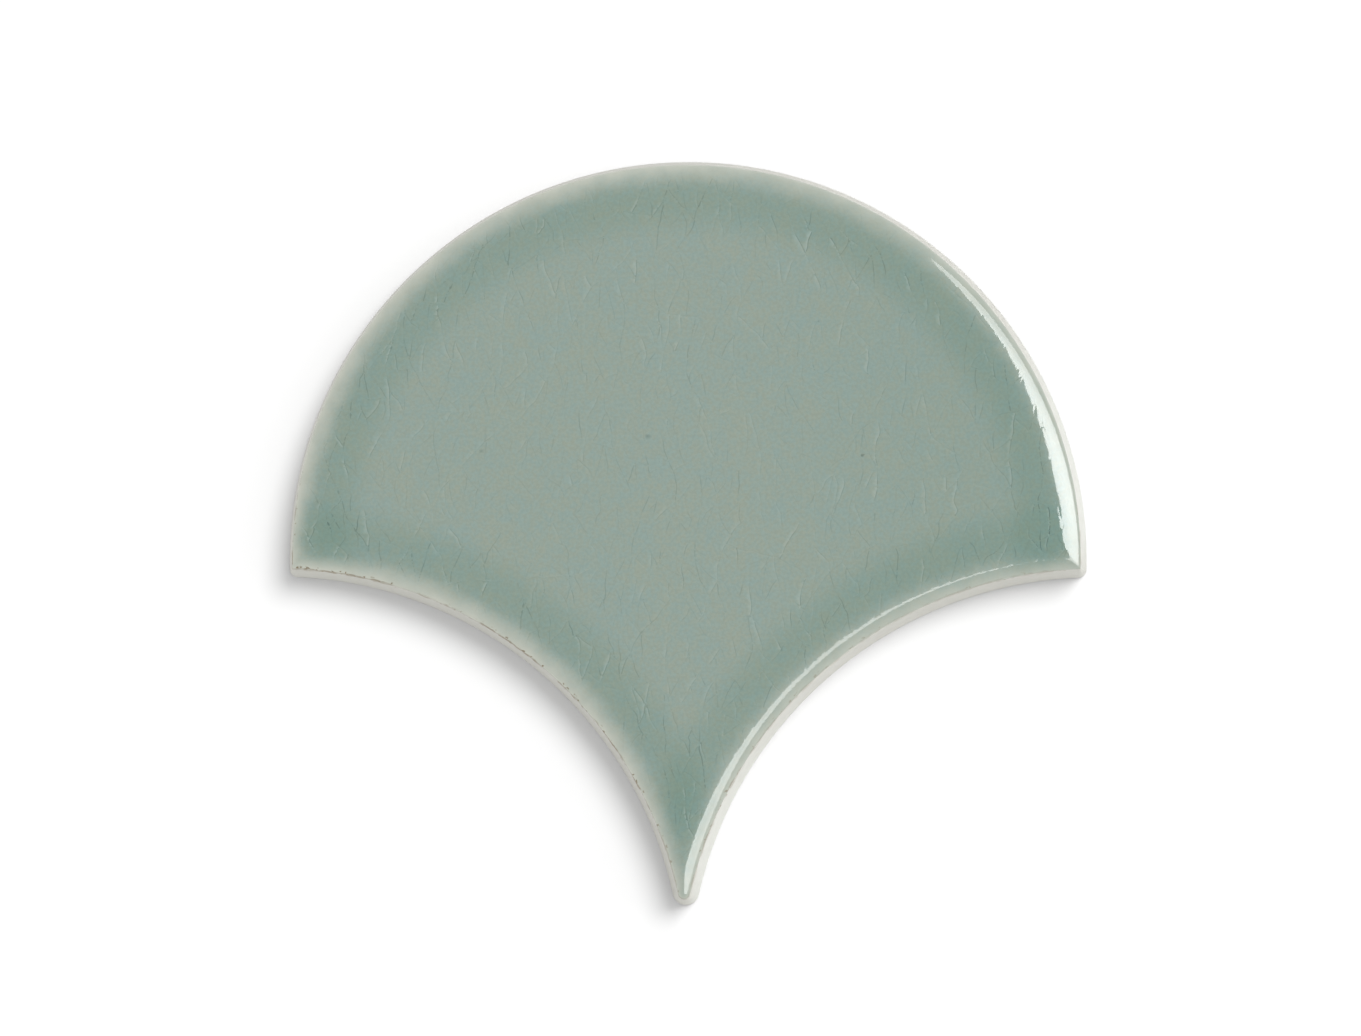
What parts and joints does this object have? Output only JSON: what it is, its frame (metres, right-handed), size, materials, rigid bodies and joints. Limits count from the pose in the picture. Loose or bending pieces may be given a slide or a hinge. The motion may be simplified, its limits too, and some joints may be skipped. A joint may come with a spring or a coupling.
{
  "type": "scallop wall tile",
  "caption": "Fish-scale wall tile with a round top, hollow lower edges and a blunt tip; cushioned glossy crackle-glazed face, bare drafted sides and a back with keying channels.",
  "frame": {"origin": "on the back, in the middle of the tile's bounding box; the centre of the round top's arc is 4.4 mm below it, at Y = -4.4 mm", "axes": "the tile lies on its back: +Z out of the glazed face, +Y from the tip towards the round top, +X across the tile to the right"},
  "size_m": [0.13, 0.1212, 0.0085],
  "materials": {
    "glazed_tile": "gloss"
  },
  "bodies": {
    "root": {"scallop_tile": "glazed_tile"}
  },
  "joints": []
}
